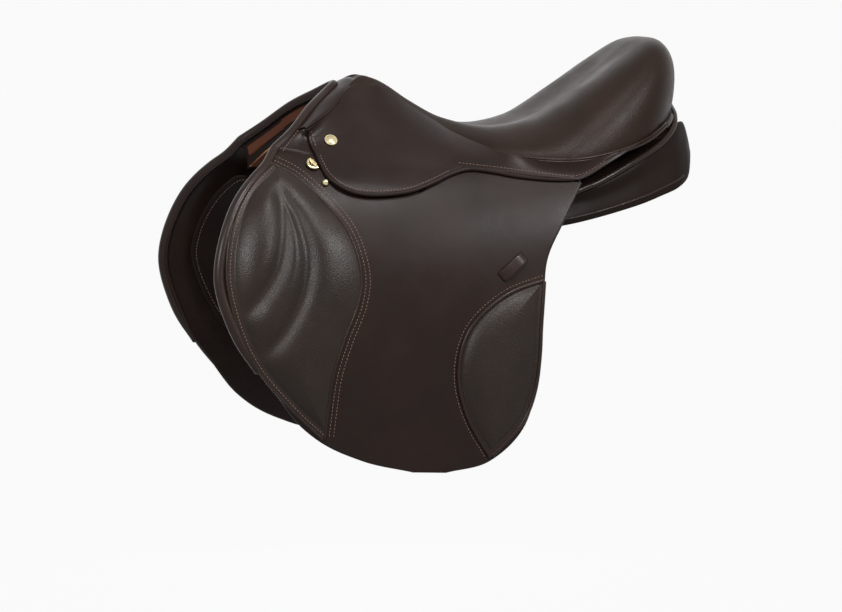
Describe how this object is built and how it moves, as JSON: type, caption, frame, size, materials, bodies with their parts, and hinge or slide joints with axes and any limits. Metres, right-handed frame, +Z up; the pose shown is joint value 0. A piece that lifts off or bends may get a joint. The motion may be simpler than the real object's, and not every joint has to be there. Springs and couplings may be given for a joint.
{
  "type": "jumping saddle",
  "caption": "Close-contact jumping saddle: spring tree, deep seat, forward flaps that lift, knee and calf pads, skirts over stirrup bars, panels and girth straps.",
  "frame": {"origin": "on the centre plane under the seat's deepest point, at the panels' bearing level", "axes": "-X to the pommel, +X to the cantle, +Y to the right side, +Z up"},
  "size_m": [0.6059, 0.372, 0.4993],
  "materials": {
    "smooth_leather": "satin, waxed bridle leather",
    "grain_leather": "soft grained leather with a light sheen",
    "panel_leather": "matt lining leather",
    "tan_leather": "raw tan leather",
    "brass": "polished",
    "steel": "brushed",
    "beech": "bare laminated beech",
    "webbing": "woven web",
    "foam": "open foam"
  },
  "bodies": {
    "saddle": {"tree_rim": "beech", "tree_head": "beech", "tree_bar_left": "beech", "tree_bar_right": "beech", "head_plate": "steel", "gullet_plate": "steel", "tree_rivets": "brass", "spring_left": "steel", "spring_right": "steel", "stirrup_bar_left": "steel", "stirrup_bar_right": "steel", "catch_pins": "steel", "seat_web_long": "webbing", "seat_web_cross": "webbing", "seat_foam": "foam", "seat_cover": "grain_leather", "seat_welt": "smooth_leather", "pommel_facing": "smooth_leather", "pommel_roll": "smooth_leather", "cantle_binding": "smooth_leather", "skirt_left": "smooth_leather", "skirt_right": "smooth_leather", "saddle_nails": "brass", "flap_top_left": "smooth_leather", "flap_top_right": "smooth_leather", "panel_left": "panel_leather", "panel_right": "panel_leather", "gullet_lining": "webbing", "point_pocket_left": "tan_leather", "point_pocket_right": "tan_leather", "sweat_flap_left": "panel_leather", "sweat_flap_right": "panel_leather", "girth_web_left": "webbing", "girth_web_right": "webbing"},
    "flap_left": {"flap_left": "smooth_leather", "flap_roll_left": "smooth_leather", "knee_pad_left": "grain_leather", "calf_pad_left": "grain_leather", "keeper_left": "smooth_leather", "dee_clip_left": "brass", "flap_stud_left": "brass"},
    "skirt_left": {"skirt_lobe_left": "smooth_leather"},
    "dee_left": {"dee_left": "brass"},
    "catch_left": {"bar_catch_left": "steel"},
    "girth_left_1": {"girth_strap_left_1": "smooth_leather"},
    "girth_left_2": {"girth_strap_left_2": "smooth_leather"},
    "girth_left_3": {"girth_strap_left_3": "smooth_leather"},
    "flap_right": {"flap_right": "smooth_leather", "flap_roll_right": "smooth_leather", "knee_pad_right": "grain_leather", "calf_pad_right": "grain_leather", "keeper_right": "smooth_leather", "dee_clip_right": "brass", "flap_stud_right": "brass"},
    "skirt_right": {"skirt_lobe_right": "smooth_leather"},
    "dee_right": {"dee_right": "brass"},
    "catch_right": {"bar_catch_right": "steel"},
    "girth_right_1": {"girth_strap_right_1": "smooth_leather"},
    "girth_right_2": {"girth_strap_right_2": "smooth_leather"},
    "girth_right_3": {"girth_strap_right_3": "smooth_leather"}
  },
  "joints": [
    {"name": "flap_lift_left", "type": "hinge", "parent": "saddle", "child": "flap_left", "pos_m": [-0.06961, -0.11777, 0.04281], "axis": [-0.9819, 0.1494, 0.1161], "range_deg": [0, 75]},
    {"name": "skirt_lift_left", "type": "hinge", "parent": "flap_left", "child": "skirt_left", "pos_m": [-0.06961, -0.11777, 0.04281], "axis": [-0.9819, 0.1494, 0.1161], "range_deg": [0, 50]},
    {"name": "dee_swing_left", "type": "hinge", "parent": "flap_left", "child": "dee_left", "pos_m": [-0.229, -0.10796, 0.04867], "axis": [-0.454, 0.6031, 0.6558], "range_deg": [0, 130]},
    {"name": "catch_flip_left", "type": "hinge", "parent": "saddle", "child": "catch_left", "pos_m": [-0.1325, -0.11317, 0.03384], "axis": [0, -0.7785, 0.6277], "range_deg": [0, 80]},
    {"name": "girth_swing_left_1", "type": "hinge", "parent": "saddle", "child": "girth_left_1", "pos_m": [-0.0916, -0.11885, 0.01539], "axis": [0.0326, 0.8384, -0.5441], "range_deg": [-8, 8]},
    {"name": "girth_swing_left_2", "type": "hinge", "parent": "saddle", "child": "girth_left_2", "pos_m": [-0.04553, -0.12372, 0.01057], "axis": [0.038, 0.864, -0.5021], "range_deg": [-8, 8]},
    {"name": "girth_swing_left_3", "type": "hinge", "parent": "saddle", "child": "girth_left_3", "pos_m": [0.00055, -0.12845, 0.00585], "axis": [0.0442, 0.8906, -0.4526], "range_deg": [-8, 8]},
    {"name": "flap_lift_right", "type": "hinge", "parent": "saddle", "child": "flap_right", "pos_m": [-0.06961, 0.11777, 0.04281], "axis": [0.9819, 0.1494, -0.1161], "range_deg": [0, 75]},
    {"name": "skirt_lift_right", "type": "hinge", "parent": "flap_right", "child": "skirt_right", "pos_m": [-0.06961, 0.11777, 0.04281], "axis": [0.9819, 0.1494, -0.1161], "range_deg": [0, 50]},
    {"name": "dee_swing_right", "type": "hinge", "parent": "flap_right", "child": "dee_right", "pos_m": [-0.229, 0.10796, 0.04867], "axis": [0.454, 0.6031, -0.6558], "range_deg": [0, 130]},
    {"name": "catch_flip_right", "type": "hinge", "parent": "saddle", "child": "catch_right", "pos_m": [-0.1325, 0.11317, 0.03384], "axis": [0, -0.7785, -0.6277], "range_deg": [0, 80]},
    {"name": "girth_swing_right_1", "type": "hinge", "parent": "saddle", "child": "girth_right_1", "pos_m": [-0.0916, 0.11885, 0.01539], "axis": [-0.0326, 0.8384, 0.5441], "range_deg": [-8, 8]},
    {"name": "girth_swing_right_2", "type": "hinge", "parent": "saddle", "child": "girth_right_2", "pos_m": [-0.04553, 0.12372, 0.01057], "axis": [-0.038, 0.864, 0.5021], "range_deg": [-8, 8]},
    {"name": "girth_swing_right_3", "type": "hinge", "parent": "saddle", "child": "girth_right_3", "pos_m": [0.00055, 0.12845, 0.00585], "axis": [-0.0442, 0.8906, 0.4526], "range_deg": [-8, 8]}
  ],
  "couplings": [
    {"joint": "girth_swing_left_1", "follows": "girth_swing_left_2", "ratio": 1},
    {"joint": "girth_swing_left_3", "follows": "girth_swing_left_2", "ratio": 1},
    {"joint": "girth_swing_right_1", "follows": "girth_swing_right_2", "ratio": 1},
    {"joint": "girth_swing_right_3", "follows": "girth_swing_right_2", "ratio": 1}
  ]
}
